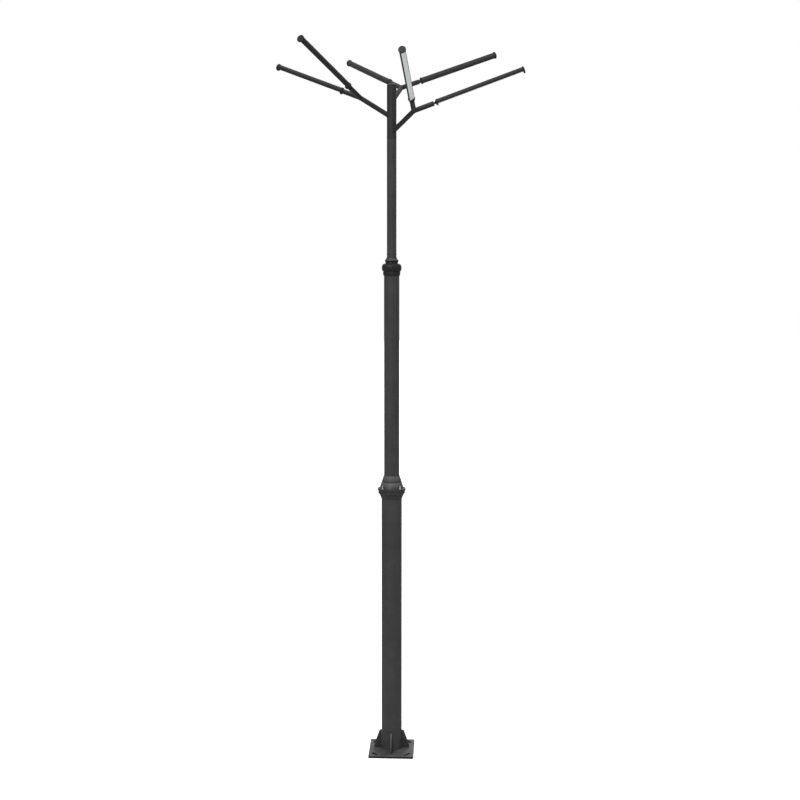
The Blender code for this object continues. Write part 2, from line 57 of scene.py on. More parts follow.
LOWER_COLLAR = [
    (0.0932, 2.3080), (0.0945, 2.3130), (0.1028, 2.3330), (0.1095, 2.3500), (0.1120, 2.3550),
    (0.1197, 2.3565), (0.1197, 2.3680), (0.1170, 2.3700), (0.1170, 2.3780), (0.1250, 2.3820),
    (0.1250, 2.4010), (0.1068, 2.4025), (0.0899, 2.4570), (0.0858, 2.4580), (0.0858, 2.4620),
    (0.0877, 2.4630), (0.0706, 2.5150),
]
LOWER_COLLAR_INSIDE = [
    (MIDDLE_R + GAP, 2.5150), (MIDDLE_R + GAP, 2.4280), (0.0580, 2.4280), (0.0580, 2.3743),
    (LOWER_R + GAP, 2.3743), (LOWER_R + GAP, 2.3080),
]
UPPER_COLLAR = [
    (0.0715, 4.2840), (0.0730, 4.2900), (0.0755, 4.2990), (0.0765, 4.3170), (0.0742, 4.3190),
    (0.0742, 4.3230), (0.0808, 4.3260), (0.0846, 4.3350), (0.0868, 4.3460), (0.0868, 4.3630),
    (0.0828, 4.3770), (0.0750, 4.3860), (0.0560, 4.3925), (0.0545, 4.4010), (0.0580, 4.4080),
    (0.0607, 4.4155), (0.0580, 4.4230), (0.0503, 4.4300), (0.0450, 4.4450),
]
UPPER_COLLAR_INSIDE = [
    (TOP_R + GAP, 4.4450), (TOP_R + GAP, 4.3610), (0.0340, 4.3610), (0.0340, 4.3510),
    (MIDDLE_R + GAP, 4.3510), (MIDDLE_R + GAP, 4.2840),
]
SHELF_Z = 2.4018        # the ledge that the flange nuts stand on
FLANGE_BOLT_R, POCKET_R, POCKET_H = 0.1085, 0.0115, 0.052
NUT_TOP, STUD_TOP = 0.0112, 0.0292      # above the ledge
SCREW_DEG = (-60.0, -120.0, 60.0, 120.0, 0.0, 180.0)
TOP_SCREWS_Z, SLEEVE_SCREWS_Z = 4.4740, 5.4880

ARMS = [("arm_1", -45.0, 5.525), ("arm_2", 195.0, 5.656), ("arm_3", 75.0, 5.787)]
NODE_REACH, NODE_RISE = 0.280, 0.161
FORK_DEG, LAMP_RISE_DEG = 49.0, 20.4
ARM_R = 0.0212
AIM_DEG = {
    ("arm_1", "left"): 2.0, ("arm_1", "right"): 34.0,
    ("arm_2", "left"): -58.0, ("arm_2", "right"): -7.0,
    ("arm_3", "left"): -60.0, ("arm_3", "right"): 60.0,
}
SHAFT_R, SHAFT_BORE_R, SHAFT_START = 0.0080, 0.0035, 0.152
CONE_START, CONE_END, FLANGE_END = 0.191, 0.209, 0.215
HUB_R, CAP_R, CAP_SCREW_R = 0.0305, 0.0310, 0.0205
HOUSING_END, CAP_END = 0.9922, 1.0022
HOUSING_R, HOUSING_WALL, FLAT_DROP = 0.0265, 0.0022, 0.0125
BOARD_T, BOARD_HALF, BOARD_INSET = 0.0016, 0.012, 0.012
CHIP_ROWS, CHIPS_IN_ROW, CHIP_HALF = (-0.0052, 0.0052), 44, 0.0014
LIP_HALF, LIP_T, WEB_LOW = 0.0199, 0.0020, -0.0010

LOCK_DEG, LOCK_Z, DOOR_OUTER_R = 70.0, 0.808, 0.0968
TRAY_FACE_Y = -0.0267
DRIVER_LOW_Z, DRIVER_H, DRIVER_T = (0.708, 0.873), 0.150, 0.030
TERMINAL_LOW_Z, TERMINAL_TOP_Z = 0.633, 0.683
TERMINAL_X, TERMINAL_W, TERMINAL_WAYS = -0.028, 0.048, 6
EARTH_Z = 0.598
OUT_OF_TRAY = Vector((0.0, 1.0, 0.0))

# ---------------------------------------------------------------- camera
VIEW_DISTANCE = 10.548
VIEW_HEIGHT = 4.365
VIEW_TURN_DEG = 2.65
VIEW_TILT_DEG = 4.61    # below level
FRAME_WIDTH = 7.04      # width of the picture at the post's axis
SHIFT_X, SHIFT_Y = 0.0104, -0.046

# ---------------------------------------------------------------- floor and light
FLOOR_HALF, FLOOR_Z, FLOOR_GLOW = 60.0, -0.0005, 0.45
FLOOR_DARK, FLOOR_PALE = 0.194, 0.198   # from the axis, under the plate's edge, where the painted shade under the plate ends
DOME_LIGHT = (0.90, 0.44, 0.32, 0.95)   # nadir, below and above the horizon, zenith
SUNS = [     # name, power, width in degrees, turn in degrees
    ("key_light", 2.5, 24.0, (54.0, 0.0, -20.0)),
    ("fill_light", 0.6, 60.0, (60.0, 0.0, 62.0)),
    ("back_light", 0.8, 50.0, (66.0, 0.0, 168.0)),
]


# ---------------------------------------------------------------- material graphs

class Graph:
    """A Principled material with its nodes added one by one."""

    def __init__(self, name):
        self.material = bpy.data.materials.new(name)
        self.material.use_nodes = True
        self.tree = self.material.node_tree
        self.shader = self.tree.nodes["Principled BSDF"]
        place = self.tree.nodes.new("ShaderNodeTexCoord")
        self.place = place.outputs["Object"]
        self.own_normal = place.outputs["Normal"]

    def wire(self, source, node, socket):
        if isinstance(source, bpy.types.NodeSocket):
            self.tree.links.new(source, node.inputs[socket])
        else:
            node.inputs[socket].default_value = source

    def stretched(self, scale):
        node = self.tree.nodes.new("ShaderNodeMapping")
        self.wire(self.place, node, "Vector")
        node.inputs["Scale"].default_value = scale
        return node.outputs["Vector"]

    def noise(self, scale, detail=3.0, rough=0.5, vector=None):
        node = self.tree.nodes.new("ShaderNodeTexNoise")
        self.wire(vector or self.place, node, "Vector")
        node.inputs["Scale"].default_value = scale
        node.inputs["Detail"].default_value = detail
        node.inputs["Roughness"].default_value = rough
        return node.outputs["Fac"]

    def cells(self, scale, output="Distance"):
        node = self.tree.nodes.new("ShaderNodeTexVoronoi")
        self.wire(self.place, node, "Vector")
        node.inputs["Scale"].default_value = scale
        return node.outputs[output]

    def spread(self, value, low, high, to_low=0.0, to_high=1.0):
        """Map a range of a value to another range, held at its ends."""
        node = self.tree.nodes.new("ShaderNodeMapRange")
        self.wire(value, node, "Value")
        node.inputs["From Min"].default_value = low
        node.inputs["From Max"].default_value = high
        node.inputs["To Min"].default_value = to_low
        node.inputs["To Max"].default_value = to_high
        return node.outputs["Result"]

    def maths(self, operation, one, two=0.0):
        node = self.tree.nodes.new("ShaderNodeMath")
        node.operation = operation
        self.wire(one, node, 0)
        self.wire(two, node, 1)
        return node.outputs["Value"]

    def mixed(self, share, one, two):
        """Colour one where share is 0 and colour two where it is 1."""
        node = self.tree.nodes.new("ShaderNodeMix")
        node.data_type = "RGBA"
        self.wire(share, node, 0)
        self.wire(one, node, 6)
        self.wire(two, node, 7)
        return node.outputs[2]

    def part(self, vector, axis):
        node = self.tree.nodes.new("ShaderNodeSeparateXYZ")
        self.wire(vector, node, "Vector")
        return node.outputs[axis]

    def facing(self, output="Normal"):
        return self.tree.nodes.new("ShaderNodeNewGeometry").outputs[output]

    def bump(self, height, distance, strength, normal=None):
        node = self.tree.nodes.new("ShaderNodeBump")
        self.wire(height, node, "Height")
        node.inputs["Distance"].default_value = distance
        node.inputs["Strength"].default_value = strength
        if normal is not None:
            self.wire(normal, node, "Normal")
        return node.outputs["Normal"]

    def set(self, **inputs):
        names = {
            "colour": "Base Color", "rough": "Roughness", "metal": "Metallic",
            "shine": "Specular IOR Level", "normal": "Normal", "soft": "Subsurface Weight",
        }
        for key, value in inputs.items():
            self.wire(value, self.shader, names[key])
        return self.material


def grey(value, warm=0.0):
    return (value * (1.0 + warm), value, value * (1.0 - warm), 1.0)


def coat(name, base, dust, shine, grain=900.0, grain_depth=0.00006, rain=0.35, on_own_top=False):
    """Satin grey powder coat: fine orange peel, faint rain streaks, and dust on what faces up,
    or on the side that is the top in the piece's own axes."""
    g = Graph(name)
    cloud = g.noise(7.0, 4.0, 0.6)
    fine = g.noise(160.0, 4.0, 0.6)
    streak = g.noise(1.0, 3.0, 0.6, g.stretched((55.0, 55.0, 1.6)))
    colour = g.mixed(g.spread(cloud, 0.35, 0.68), grey(base * 0.86), grey(base * 1.14))
    colour = g.mixed(g.spread(streak, 0.56, 0.78, 0.0, rain), colour, grey(base * 1.7))
    colour = g.mixed(g.spread(streak, 0.42, 0.24, 0.0, rain), colour, grey(base * 0.62))
    colour = g.mixed(g.spread(fine, 0.60, 0.74, 0.0, 0.20), colour, grey(base * 1.5))
    up = g.part(g.own_normal if on_own_top else g.facing(), "Z")
    blotch = g.noise(38.0, 5.0, 0.65)
    lying = g.maths("MULTIPLY", g.spread(up, 0.25, 0.95), g.spread(blotch, 0.30, 0.62, 0.45, 1.0))
    colour = g.mixed(lying, colour, grey(dust))
    rough = g.spread(g.noise(24.0, 4.0, 0.6), 0.3, 0.7, 0.42, 0.58)
    rough = g.maths("ADD", rough, g.maths("MULTIPLY", lying, 0.25))
    peel = g.bump(g.noise(grain, 2.0, 0.5), grain_depth, 0.6)
    peel = g.bump(cloud, 0.0004, 0.15, peel)
    return g.set(colour=colour, rough=rough, shine=shine, normal=peel)


def worn_coat(name, base, dust):
    """The base plate's coat: scuffed, with mineral stains and grit from the ground, and painted
    shade on its sides and at the foot of what stands on it.
    """
    g = Graph(name)
    cloud = g.noise(16.0, 5.0, 0.62)
    spots = g.cells(140.0)
    scuff = g.noise(1.0, 4.0, 0.7, g.stretched((240.0, 22.0, 60.0)))
    colour = g.mixed(g.spread(cloud, 0.36, 0.66), grey(base * 0.8), grey(base * 1.25))
    up = g.spread(g.part(g.facing(), "Z"), 0.10, 0.35)
    stain = g.spread(g.noise(9.0, 6.0, 0.68), 0.40, 0.66, 0.35, 1.0)
    colour = g.mixed(g.maths("MULTIPLY", up, stain), colour, grey(dust))
    colour = g.mixed(g.maths("MULTIPLY", up, g.spread(spots, 0.20, 0.05, 0.0, 0.5)), colour,
                     grey(dust * 1.6))
    colour = g.mixed(g.spread(scuff, 0.68, 0.76, 0.0, 0.35), colour, grey(dust * 1.8))
    # painted shade: faces that do not look up are darkened below z = 0.022, on the plate's sides
    # and slot walls and at the foot of the gussets and welds
    painted_foot_shade = g.maths("MULTIPLY", g.spread(g.part(g.place, "Z"), 0.022, 0.017), g.spread(up, 0.5, 0.0))
    colour = g.mixed(painted_foot_shade, colour, grey(base * 0.12))
    rough = g.spread(cloud, 0.3, 0.7, 0.50, 0.72)
    peel = g.bump(g.noise(600.0, 2.0, 0.5), 0.00008, 0.6)
    peel = g.bump(g.spread(spots, 0.0, 0.25), 0.0002, 0.25, peel)
    return g.set(colour=colour, rough=rough, shine=0.30, normal=peel)


def cast_coat(name, base, dust, slopes):
    """Painted casting: pebbled skin and dark runs of grime; chalky dust on the slopes between two
    heights, brighter towards each slope's top with painted shade at its foot; painted shade on
    faces that look down and a painted highlight on its sharp edges."""
    g = Graph(name)
    cloud = g.noise(11.0, 5.0, 0.6)
    pebble = g.noise(420.0, 3.0, 0.6)
    colour = g.mixed(g.spread(cloud, 0.36, 0.66), grey(base * 0.84), grey(base * 1.16))
    colour = g.mixed(g.spread(pebble, 0.58, 0.72, 0.0, 0.25), colour, grey(base * 1.5))
    run = g.noise(1.0, 4.0, 0.65, g.stretched((70.0, 70.0, 5.0)))
    colour = g.mixed(g.spread(run, 0.58, 0.78, 0.0, 0.45), colour, grey(base * 0.5))
    tilt = g.part(g.facing(), "Z")
    slope = g.maths("MULTIPLY", g.spread(tilt, 0.08, 0.26), g.spread(tilt, 0.90, 0.60))
    height = g.part(g.place, "Z")
    # chalky dust and painted light: it grows from faint at each slope's foot to full at its top,
    # painted shade low and painted light high
    chalk_and_painted_light = 0.0
    for foot, top in slopes:
        rise = g.spread(height, foot, top, 0.05, 1.0)
        rise = g.maths("MULTIPLY", rise, g.maths("GREATER_THAN", height, foot))
        below = g.maths("LESS_THAN", height, top + 0.0115)
        chalk_and_painted_light = g.maths("MAXIMUM", chalk_and_painted_light, g.maths("MULTIPLY", rise, below))
    slope = g.maths("MULTIPLY", slope, chalk_and_painted_light)
    # dust and painted light: the chalk on the slopes, broken up by noise
    lying = g.maths("MULTIPLY", slope, g.spread(g.noise(60.0, 5.0, 0.7), 0.32, 0.60, 0.6, 1.0))
    colour = g.mixed(lying, colour, grey(dust))
    # painted shade: faces that look down are darkened
    colour = g.mixed(g.spread(tilt, -0.15, -0.60, 0.0, 0.5), colour, grey(base * 0.4))
    # painted highlight: sharp convex edges are lightened
    painted_edge_highlight = g.spread(g.facing("Pointiness"), 0.53, 0.60, 0.0, 0.35)
    colour = g.mixed(painted_edge_highlight, colour, grey(base * 2.2, 0.02))
    rough = g.spread(cloud, 0.3, 0.7, 0.44, 0.62)
    skin = g.bump(pebble, 0.00012, 0.7)
    return g.set(colour=colour, rough=rough, shine=0.25, normal=skin)


def bright_steel(name, base, rough=0.34, streak_scale=(60.0, 60.0, 900.0), tarnish=0.35):
    """Turned or rolled bare metal with fine tool lines and grey tarnish."""
    g = Graph(name)
    lines = g.noise(1.0, 3.0, 0.6, g.stretched(streak_scale))
    cloud = g.noise(70.0, 4.0, 0.6)
    colour = g.mixed(g.spread(cloud, 0.40, 0.66, 0.0, tarnish), grey(base), grey(base * 0.55, 0.04))
    colour = g.mixed(g.spread(lines, 0.35, 0.65, 0.0, 0.22), colour, grey(base * 1.15))
    uneven = g.spread(lines, 0.3, 0.7, rough - 0.08, rough + 0.12)
    return g.set(colour=colour, rough=uneven, metal=1.0, normal=g.bump(lines, 0.00002, 0.6))


def galvanised(name):
    """Zinc with large grey spangles."""
    g = Graph(name)
    spangle = g.cells(130.0, "Color")
    tone = g.part(spangle, "X")
    colour = g.mixed(tone, grey(0.42, -0.01), grey(0.66, -0.01))
    colour = g.mixed(g.spread(g.noise(45.0, 4.0, 0.6), 0.55, 0.75, 0.0, 0.5), colour, grey(0.72))
    rough = g.spread(tone, 0.0, 1.0, 0.36, 0.56)
    return g.set(colour=colour, rough=rough, metal=0.9, normal=g.bump(tone, 0.00003, 0.5))


def opal(name):
    """Frosted light cover: a little yellowing, dust towards the lips and a faint line of painted
    shade over the LEDs, which lie behind it."""
    g = Graph(name)
    across = g.maths("ABSOLUTE", g.part(g.place, "Y"))
    # painted shade of the LED strip behind the cover: a darker line down the middle
    middle = g.spread(across, 0.0012, 0.0060, 0.60, 0.0)
    edge = g.spread(across, 0.0150, 0.0200, 0.0, 0.40)
    cloud = g.noise(28.0, 4.0, 0.6)
    colour = g.mixed(g.spread(cloud, 0.35, 0.68), (0.90, 0.90, 0.885, 1.0), (0.95, 0.95, 0.94, 1.0))
    colour = g.mixed(middle, colour, grey(0.74, 0.01))
    grime = g.maths("MULTIPLY", edge, g.spread(g.noise(90.0, 5.0, 0.7), 0.35, 0.65, 0.4, 1.0))
    colour = g.mixed(grime, colour, grey(0.36, 0.06))
    colour = g.mixed(g.spread(g.cells(60.0), 0.10, 0.02, 0.0, 0.5), colour, grey(0.42, 0.08))
    rough = g.spread(cloud, 0.3, 0.7, 0.28, 0.42)
    frost = g.bump(g.noise(1500.0, 2.0, 0.5), 0.00003, 0.5)
    return g.set(colour=colour, rough=rough, shine=0.45, soft=0.12, normal=frost)


def rubber(name, base=0.018):
    g = Graph(name)
    cloud = g.noise(50.0, 4.0, 0.6)
    colour = g.mixed(g.spread(cloud, 0.38, 0.66), grey(base * 0.8), grey(base * 1.5, 0.02))
    rough = g.spread(cloud, 0.3, 0.7, 0.72, 0.90)
    return g.set(colour=colour, rough=rough, shine=0.35, normal=g.bump(g.noise(700.0), 0.0001, 0.7))


def moulded(name, low, high, rough=0.45):
    """Moulded plastic with a fine spark-eroded texture."""
    g = Graph(name)
    cloud = g.noise(35.0, 3.0, 0.6)
    colour = g.mixed(g.spread(cloud, 0.35, 0.68), low, high)
    uneven = g.spread(cloud, 0.3, 0.7, rough - 0.05, rough + 0.10)
    skin = g.bump(g.cells(1400.0), 0.00004, 0.6)
    return g.set(colour=colour, rough=uneven, shine=0.45, normal=skin)


def brass(name):
    g = Graph(name)
    cloud = g.noise(160.0, 4.0, 0.6)
    colour = g.mixed(g.spread(cloud, 0.36, 0.68), (0.72, 0.52, 0.22, 1.0), (0.50, 0.34, 0.13, 1.0))
    lines = g.noise(1.0, 3.0, 0.6, g.stretched((100.0, 1200.0, 100.0)))
    rough = g.spread(lines, 0.3, 0.7, 0.26, 0.42)
    return g.set(colour=colour, rough=rough, metal=1.0, normal=g.bump(lines, 0.00002, 0.5))


def circuit(name):
    """White solder mask of an LED board, with slight unevenness."""
    g = Graph(name)
    cloud = g.noise(120.0, 4.0, 0.6)
    colour = g.mixed(g.spread(cloud, 0.35, 0.68), grey(0.80), grey(0.88))
    rough = g.spread(cloud, 0.3, 0.7, 0.34, 0.50)
    return g.set(colour=colour, rough=rough, shine=0.5, normal=g.bump(cloud, 0.00005, 0.5))


# ---------------------------------------------------------------- making meshes

def new_piece(name, bm, material, body, smooth_deg=33.0, place=None, stands_for=()):
    """The mesh as a shaded object that rides on a CAD body."""
    bmesh.ops.recalc_face_normals(bm, faces=bm.faces)
    mesh = bpy.data.meshes.new(name)
    bm.to_mesh(mesh)
    bm.free()
    mesh.materials.append(material)
    for polygon in mesh.polygons:
        polygon.use_smooth = True
    mesh.set_sharp_from_angle(angle=math.radians(smooth_deg))
    obj = bpy.data.objects.new(name, mesh)
    bpy.context.scene.collection.objects.link(obj)
    if place is not None:
        obj.matrix_world = place
    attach(obj, body)
    if stands_for:
        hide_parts(*stands_for)


def rounded_profile(points, radius):
    """The same open outline with its clear corners rounded by short curves."""
    least_turn = math.radians(9.0)
    out = [tuple(Vector(points[0]))]
    for before, here, after in zip(points, points[1:], points[2:]):
        here = Vector(here)
        one, two = Vector(before) - here, Vector(after) - here
        if math.pi - one.angle(two) < least_turn:
            out.append(tuple(here))
            continue
        reach = min(radius, one.length * 0.42, two.length * 0.42)
        start = here + one.normalized() * reach
        end = here + two.normalized() * reach
        for step in range(4):
            t = step / 3.0
            curve = start * (1.0 - t) ** 2 + here * 2.0 * t * (1.0 - t) + end * t ** 2
            out.append(tuple(curve))
    out.append(tuple(Vector(points[-1])))
    return out


def flat_sided(sides):
    """How far a regular polygon's edge is from its centre, in flat distances, by angle."""
    part = 2.0 * math.pi / sides

    def reach(angle):
        return 1.0 / math.cos(angle % part - part / 2.0)

    return reach


def turned_mesh(profile, segments, closed=True, sides=0):
    """Turn (radius, height) points round Z. Points with a third value are drawn on a polygon
    with as many flats as sides gives."""
    bm = bmesh.new()
    rings = []
    for entry in profile:
        radius, height = entry[0], entry[1]
        if radius < 1e-7:
            rings.append([bm.verts.new((0.0, 0.0, height))])
            continue
        reach = flat_sided(sides) if len(entry) > 2 else None
        ring = []
        for i in range(segments):
            angle = 2.0 * math.pi * i / segments
            r = radius * reach(angle) if reach else radius
            ring.append(bm.verts.new((r * math.cos(angle), r * math.sin(angle), height)))
        rings.append(ring)
    pairs = list(zip(rings, rings[1:]))
    if closed:
        pairs.append((rings[-1], rings[0]))
    for one, two in pairs:
        for i in range(segments):
            j = (i + 1) % segments
            if len(one) == 1:
                bm.faces.new((one[0], two[j], two[i]))
            elif len(two) == 1:
                bm.faces.new((one[i], one[j], two[0]))
            else:
                bm.faces.new((one[i], one[j], two[j], two[i]))
    return bm


def moved(bm, matrix):
    bmesh.ops.transform(bm, matrix=matrix, verts=bm.verts)
    return bm


def gather(target, extra):
    """Add a second mesh to the first one."""
    spare = bpy.data.meshes.new("spare")
    extra.to_mesh(spare)
    extra.free()
    target.from_mesh(spare)
    bpy.data.meshes.remove(spare)


def cut_mesh(bm, cutters):
    """Take cutter solids out of a mesh with exact Booleans."""
    mesh = bpy.data.meshes.new("cutting")
    bmesh.ops.recalc_face_normals(bm, faces=bm.faces)
    bm.to_mesh(mesh)
    bm.free()
    target = bpy.data.objects.new("cutting", mesh)
    bpy.context.scene.collection.objects.link(target)
    spares = []
    for cutter in cutters:
        bmesh.ops.recalc_face_normals(cutter, faces=cutter.faces)
        shape = bpy.data.meshes.new("cutter")
        cutter.to_mesh(shape)
        cutter.free()
        tool = bpy.data.objects.new("cutter", shape)
        bpy.context.scene.collection.objects.link(tool)
        modifier = target.modifiers.new("cut", "BOOLEAN")
        modifier.object = tool
        modifier.solver = "EXACT"
        spares.append(tool)
    bpy.context.view_layer.update()
    shown = target.evaluated_get(bpy.context.evaluated_depsgraph_get())
    result = bmesh.new()
    result.from_mesh(shown.data)
    for spare in [target] + spares:
        shape = spare.data
        bpy.data.objects.remove(spare)
        bpy.data.meshes.remove(shape)
    return result


def extruded(outline, low, high, edge=0.0):
    """A straight solid along Z from an (x, y) outline, with its end edges eased by edge."""
    size = max(math.hypot(x, y) for x, y in outline)
    scale = 1.0 - edge / size
    stations = [(low, 1.0), (high, 1.0)]
    if edge > 0.0:
        stations = [(low, scale), (low + edge, 1.0), (high - edge, 1.0), (high, scale)]
    bm = bmesh.new()
    rings = []
    for z, s in stations:
        rings.append([bm.verts.new((x * s, y * s, z)) for x, y in outline])
    bm.faces.new(rings[0][::-1])
    bm.faces.new(rings[-1])
    count = len(outline)
    for one, two in zip(rings, rings[1:]):
        for i in range(count):
            j = (i + 1) % count
            bm.faces.new((one[i], one[j], two[j], two[i]))
    return bm


def soft_box(low, high, edge):
    """A box with small rounded edges."""
    bm = bmesh.new()
    bmesh.ops.create_cube(bm, size=1.0)
    size = Vector(high) - Vector(low)
    middle = (Vector(high) + Vector(low)) / 2.0
    moved(bm, Matrix.Translation(middle) @ Matrix.Diagonal((*size, 1.0)))
    bmesh.ops.bevel(bm, geom=bm.edges[:], offset=edge, segments=3, profile=0.5, affect="EDGES")
    return bm


def from_node(node, edge, segments=2, angle_deg=28.0):
    """A CAD node's shape with its sharp edges rounded off."""
    bm = bmesh.new()
    bm.from_mesh(NODES[node].data)
    bmesh.ops.remove_doubles(bm, verts=bm.verts, dist=0.000003)
    bmesh.ops.dissolve_limit(bm, angle_limit=math.radians(0.6), verts=bm.verts, edges=bm.edges)
    sharp = []
    for one in bm.edges:
        if len(one.link_faces) == 2 and one.calc_face_angle(0.0) > math.radians(angle_deg):
            sharp.append(one)
    bmesh.ops.bevel(bm, geom=sharp, offset=edge, segments=segments, profile=0.5, affect="EDGES",
                    clamp_overlap=True)
    return bm


def direction_frame(origin, direction):
    turn = Vector((0.0, 0.0, 1.0)).rotation_difference(Vector(direction))
    return Matrix.Translation(Vector(origin)) @ turn.to_matrix().to_4x4()


def polar(radius, degrees, z=0.0):
    angle = math.radians(degrees)
    return Vector((radius * math.cos(angle), radius * math.sin(angle), z))


def even_steps(points, step, closed):
    """Points along the same line at an even spacing."""
    line = [Vector(p) for p in points]
    if closed:
        line.append(line[0])
    length = sum((b - a).length for a, b in zip(line, line[1:]))
    count = max(4, round(length / step))
    out = []
    travelled, index, target = 0.0, 0, 0.0
    for a, b in zip(line, line[1:]):
        span = (b - a).length
        while index < count and target <= travelled + span + 1e-12:
            out.append(a.lerp(b, (target - travelled) / span) if span > 0.0 else a.copy())
            index += 1
            target = length * index / count
        travelled += span
    if not closed:
        out.append(line[-1])
    return out


def weld_mesh(points, radius, closed=False):
    """A weld bead: a rope of overlapping ripples along a line."""
    line = even_steps(points, WELD_RIPPLE / 3.0, closed)
    count = len(line)
    bm = bmesh.new()
    rings = []
    up = Vector((0.13, 0.31, 0.94)).normalized()
    for i, point in enumerate(line):
        before = line[i - 1] if closed or i > 0 else line[0]
        after = line[(i + 1) % count] if closed or i < count - 1 else line[-1]
        along = (after - before).normalized()
        side = (up - up.dot(along) * along).normalized()
        other = along.cross(side)
        up = side
        size = radius * (1.0 + 0.10 * math.cos(2.0 * math.pi * i / 3.0) + 0.05 * math.sin(i * 0.37))
        if not closed and i in (0, count - 1):
            size = radius * 0.45
        ring = []
        for k in range(BEAD_SIDES):
            turn = 2.0 * math.pi * k / BEAD_SIDES
            spot = point + side * (size * math.cos(turn)) + other * (size * math.sin(turn))
            ring.append(bm.verts.new(spot))
        rings.append(ring)
    pairs = list(zip(rings, rings[1:]))
    if closed:
        pairs.append((rings[-1], rings[0]))
    for one, two in pairs:
        shift = 0
        if closed and two is rings[0]:
            gaps = [(one[0].co - vert.co).length for vert in two]
            shift = gaps.index(min(gaps))
        for k in range(BEAD_SIDES):
            j = (k + 1) % BEAD_SIDES
            bm.faces.new((one[k], one[j], two[(j + shift) % BEAD_SIDES],
                          two[(k + shift) % BEAD_SIDES]))
    if not closed:
        bm.faces.new(rings[0][::-1])
        bm.faces.new(rings[-1])
    return bm


def socket_screw_mesh(radius, height, drive, depth=None):
    """A round screw head standing on z = 0, with a six-sided recess for the key. drive is the
    recess's share of the head's width."""
    depth = depth or height * 0.7
    flat = radius * drive
    ease = radius * 0.12
    return turned_mesh([
        (0.0, 0.0), (radius, 0.0), (radius, height - ease), (radius - ease, height),
        (flat * 1.06, height, 1), (flat, height - ease * 0.5, 1), (flat, height - depth, 1),
        (0.0, height - depth),
    ], 48, closed=False, sides=6)


# ---------------------------------------------------------------- finishes
POST = coat("post_coat", 0.0310, 0.085, shine=0.22)
ARM = coat("arm_coat", 0.0165, 0.050, shine=0.22)
SLEEVE = coat("sleeve_coat", 0.0185, 0.070, shine=0.22)
LAMP = coat("lamp_coat", 0.0150, 0.034, shine=0.20, grain=1100.0, grain_depth=0.00004,
            rain=0.15, on_own_top=True)
PLATE = worn_coat("plate_coat", 0.030, 0.074)
# the plate's coat made darker as painted shade on the gussets' flat faces; the pale dust on their
# sloping edges is partly dust and partly a painted highlight
SHADED_GUSSET = worn_coat("shaded_gusset_coat", 0.015, 0.140)
# the heights given to each casting bound its chalky slopes, brightened towards their tops as
# painted light
CASTING = cast_coat("casting_coat", 0.0230, 0.080, [(2.463, 2.505), (2.412, 2.448)])
DARK_CASTING = cast_coat("dark_casting_coat", 0.0075, 0.060, [(4.408, 4.424)])
STEEL = bright_steel("stainless_steel", 0.62)
CAP_SCREW = bright_steel("painted_screw", 0.035, 0.50)
DARK_STEEL = bright_steel("blackened_steel", 0.055, 0.42)
ZINC = galvanised("galvanised_sheet")
LOCK_ZINC = bright_steel("lock_zinc", 0.45, 0.40, (900.0, 900.0, 60.0), 0.5)
OPAL = opal("opal_cover")
SEAL = rubber("door_rubber")
CABLE = rubber("cable_sheath", 0.022)
CASE = moulded("driver_case_plastic", (0.70, 0.70, 0.67, 1.0), (0.80, 0.80, 0.78, 1.0))
TERMINAL = moulded("terminal_grey", (0.26, 0.28, 0.30, 1.0), (0.33, 0.35, 0.38, 1.0), 0.52)
BRASS = brass("earth_brass")
BOARD = circuit("board_mask")
CHIP = moulded("led_phosphor", (0.80, 0.62, 0.16, 1.0), (0.88, 0.72, 0.24, 1.0), 0.30)

NODE_FINISH = {
    "lower_tube": POST, "middle_tube": POST, "top_tube": POST, "head_sleeve": SLEEVE,
    "arm_1": ARM, "arm_2": ARM, "arm_3": ARM, "door_seal": SEAL, "riser_cable": CABLE,
}


def finish_nodes():
    for node, material in NODE_FINISH.items():
        for slot in NODES[node].material_slots:
            slot.material = material


# ---------------------------------------------------------------- base

def make_base():
    new_piece("plate", from_node("base_plate", 0.0012, 3), PLATE, "post",
              stands_for=["base_plate"])
    beads = bmesh.new()
    lift = 0.0008       # how far a bead's centre line stands off the faces it joins
    top = PLATE_T + lift
    for i in range(4):
        angle = 90.0 * i
        name = f"gusset_{i + 1}"
        new_piece(f"{name}_plate", from_node(name, 0.0010, 3), SHADED_GUSSET, "post",
                  stands_for=[name])
        out = polar(1.0, angle)
        side = polar(1.0, angle + 90.0)
        for sign in (-1.0, 1.0):
            edge = side * sign * (GUSSET_T / 2.0 + lift)
            inner = math.sqrt(LOWER_R ** 2 - edge.length ** 2) + lift
            wall = out * inner + edge
            upright = [wall + Vector((0.0, 0.0, z))
                       for z in (top + CORNER_GAP, PLATE_T + GUSSET_H - 0.001)]
            gather(beads, weld_mesh(upright, GUSSET_WELD_R))
            foot = [out * r + edge + Vector((0.0, 0.0, top))
                    for r in (LOWER_R + CORNER_GAP, LOWER_R + GUSSET_REACH - 0.002)]
            gather(beads, weld_mesh(foot, GUSSET_WELD_R))
        first, last = angle + ROOT_GAP_DEG, angle + 90.0 - ROOT_GAP_DEG
        arc = [polar(LOWER_R + 0.0010, first + (last - first) * k / 40.0, top + 0.0004)
               for k in range(41)]
        gather(beads, weld_mesh(arc, ROOT_WELD_R))
    new_piece("base_welds", beads, PLATE, "post", 50.0)


# ---------------------------------------------------------------- collars

def nut_profile(flat, low, high):
    """Hexagon nut with both ends turned to a cone."""
    corner = flat / math.cos(math.pi / 6.0)
    ease = (corner - flat) * 0.55
    return [
        (flat * 0.98, low), (flat, low + ease * 0.4, 1), (flat, high - ease, 1),
        (flat * 0.97, high),
    ]


def thread_profile(radius, low, high, pitch=0.0015):
    """Fine V grooves along a stud, with a pointed-off end."""
    points = []
    z = low
    while z < high - pitch * 1.5:
        points += [(radius * 0.89, z), (radius, z + pitch * 0.42), (radius, z + pitch * 0.58)]
        z += pitch
    points += [(radius * 0.89, z), (radius * 0.86, high - 0.0004), (radius * 0.74, high)]
    return points


